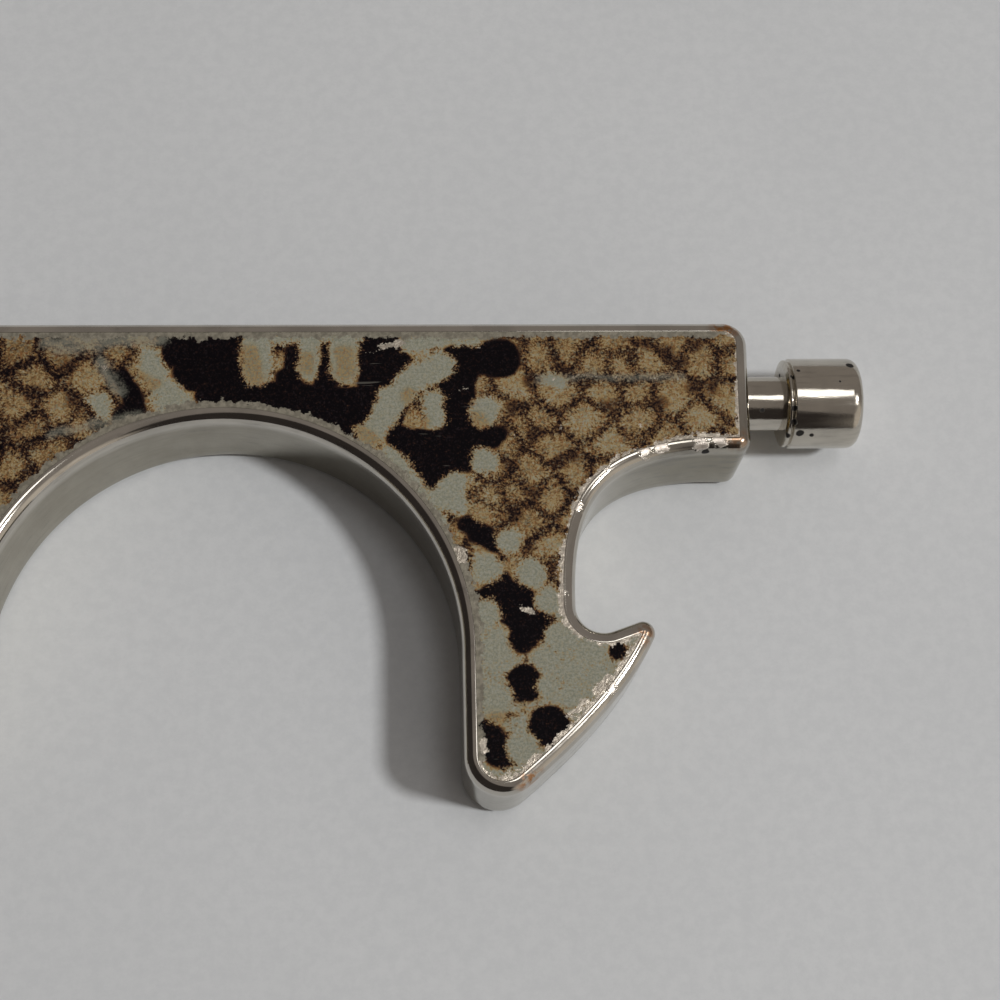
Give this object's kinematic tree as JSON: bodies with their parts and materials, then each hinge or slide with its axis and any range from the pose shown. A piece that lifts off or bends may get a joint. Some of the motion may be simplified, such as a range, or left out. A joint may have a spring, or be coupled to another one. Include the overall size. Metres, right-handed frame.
{
  "type": "keychain bottle opener",
  "caption": "Cast bar with an open finger arch, a hooked bottle-opener claw, a sprung end plunger and a short chain with a split ring.",
  "frame": {"origin": "on the back face, on the bar's centreline, straight above the centre of the finger arch", "axes": "+X along the bar towards the plunger, +Y away from the claw, +Z out of the printed face"},
  "size_m": [0.1375, 0.0429, 0.008],
  "materials": {
    "nickel_plate": "bright nickel plate, worn, with brown tarnish at the corners",
    "snake_print": "printed snakeskin film, satin, scratched, worn through at its edges",
    "brass": "turned",
    "chrome_plate": "bright plate with dirt specks",
    "spring_steel": "plain spring steel",
    "chain_steel": "bright plated wire",
    "ring_steel": "bright plated flat wire"
  },
  "bodies": {
    "body": {"body_casting": "nickel_plate", "front_print_film": "snake_print", "guide_bush": "brass", "return_spring": "spring_steel"},
    "plunger_carriage": {"retaining_clip": "spring_steel"},
    "plunger": {"plunger_rod": "chrome_plate", "plunger_head": "chrome_plate"},
    "jump_ring": {"jump_ring": "chain_steel"},
    "link_1": {"chain_link_1": "chain_steel"},
    "link_2": {"chain_link_2": "chain_steel"},
    "link_3": {"chain_link_3": "chain_steel"},
    "link_4": {"chain_link_4": "chain_steel"},
    "key_ring": {"split_ring": "ring_steel"}
  },
  "joints": [
    {"name": "plunger_press", "type": "slide", "parent": "body", "child": "plunger_carriage", "axis": [1, 0, 0], "range_m": [-0.0028, 0], "stiffness_N_per_m": 300, "springref_m": 0.003, "deforming": ["return_spring"]},
    {"name": "plunger_spin", "type": "hinge", "parent": "plunger_carriage", "child": "plunger", "pos_m": [0.04, 0, 0.004], "axis": [1, 0, 0], "continuous": true},
    {"name": "jump_ring_swing", "type": "hinge", "parent": "body", "child": "jump_ring", "pos_m": [-0.02995, 0, 0.004], "axis": [0, 0, 1], "range_deg": [-50, 50]},
    {"name": "link_1_lift", "type": "hinge", "parent": "jump_ring", "child": "link_1", "pos_m": [-0.0347, 0, 0.004], "axis": [0, 1, 0], "range_deg": [-60, 60]},
    {"name": "link_2_swing", "type": "hinge", "parent": "link_1", "child": "link_2", "pos_m": [-0.04245, 0, 0.004], "axis": [0, 0, 1], "range_deg": [-40, 40]},
    {"name": "link_3_lift", "type": "hinge", "parent": "link_2", "child": "link_3", "pos_m": [-0.0502, 0, 0.004], "axis": [0, 1, 0], "range_deg": [-60, 60]},
    {"name": "link_4_swing", "type": "hinge", "parent": "link_3", "child": "link_4", "pos_m": [-0.05795, 0, 0.004], "axis": [0, 0, 1], "range_deg": [-40, 40]},
    {"name": "key_ring_lift", "type": "hinge", "parent": "link_4", "child": "key_ring", "pos_m": [-0.06525, 0, 0.004], "axis": [0, 1, 0], "range_deg": [-60, 60]}
  ]
}
